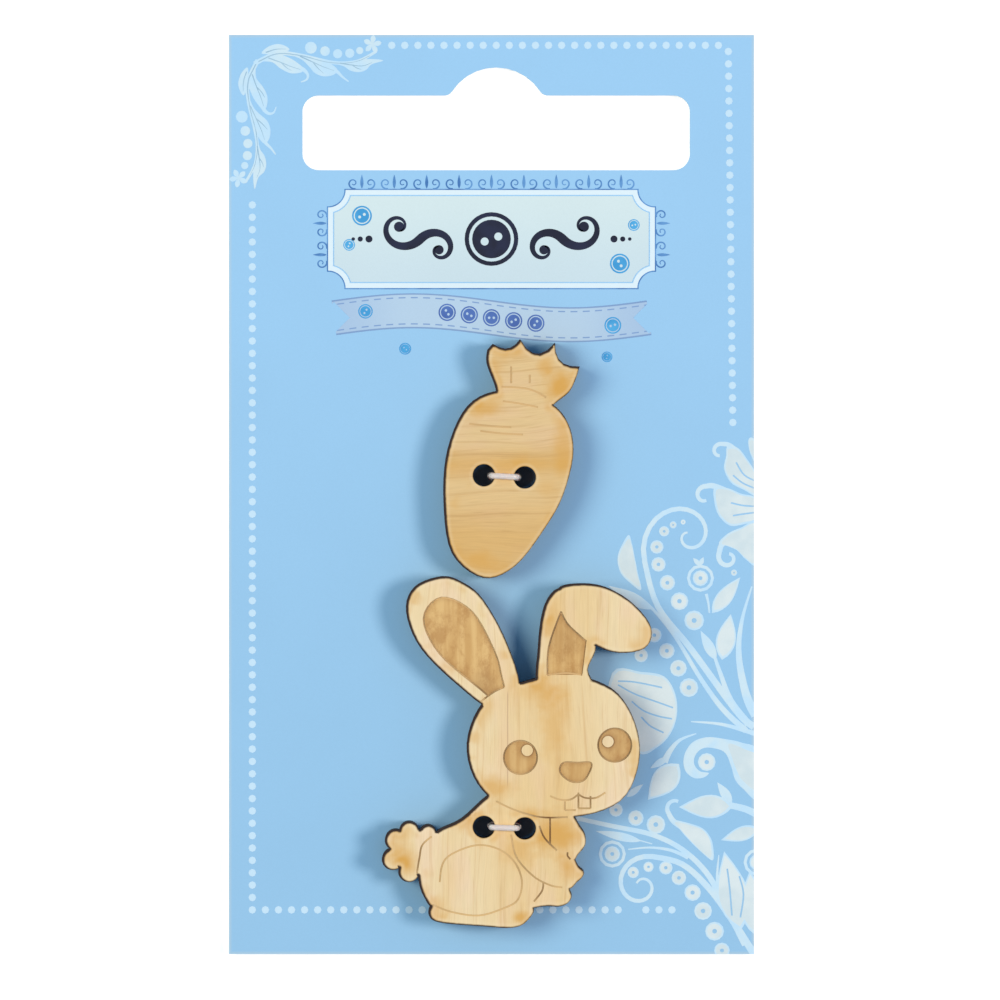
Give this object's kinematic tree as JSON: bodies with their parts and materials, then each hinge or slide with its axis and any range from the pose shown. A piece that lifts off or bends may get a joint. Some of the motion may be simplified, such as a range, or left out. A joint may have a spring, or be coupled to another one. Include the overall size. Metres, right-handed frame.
{
  "type": "card of buttons",
  "caption": "Printed hang card with a die-cut hook slot, holding carrot- and rabbit-shaped laser-cut wooden sewing buttons with moulded plastic ties.",
  "frame": {"origin": "under the middle of the card, level with the undersides of the ties' bars that it lies on", "axes": "+X to the card's right edge, +Y to its top edge with the hang slot, +Z out of its printed face"},
  "size_m": [0.045, 0.0788, 0.0048],
  "materials": {
    "card_board": "printed matt",
    "dot_ink": "printed matt",
    "scroll_ink": "printed matt",
    "field_ink": "printed matt",
    "plaque_ink": "printed matt",
    "border_ink": "printed matt",
    "filigree_ink": "printed matt",
    "ribbon_ink": "printed matt",
    "carrot_wood": "bare, charred at the cut edges",
    "rabbit_wood": "bare, charred at the cut edges",
    "tie_plastic": "translucent white"
  },
  "bodies": {
    "root": {"hang_card": "card_board", "border_dots": "dot_ink", "scrollwork": "scroll_ink", "leaf_fields": "field_ink", "label_plaque": "plaque_ink", "label_border": "border_ink", "label_filigree": "filigree_ink", "label_ribbon": "ribbon_ink", "carrot_button": "carrot_wood", "rabbit_button": "rabbit_wood", "carrot_tie": "tie_plastic", "rabbit_tie": "tie_plastic"}
  },
  "joints": []
}
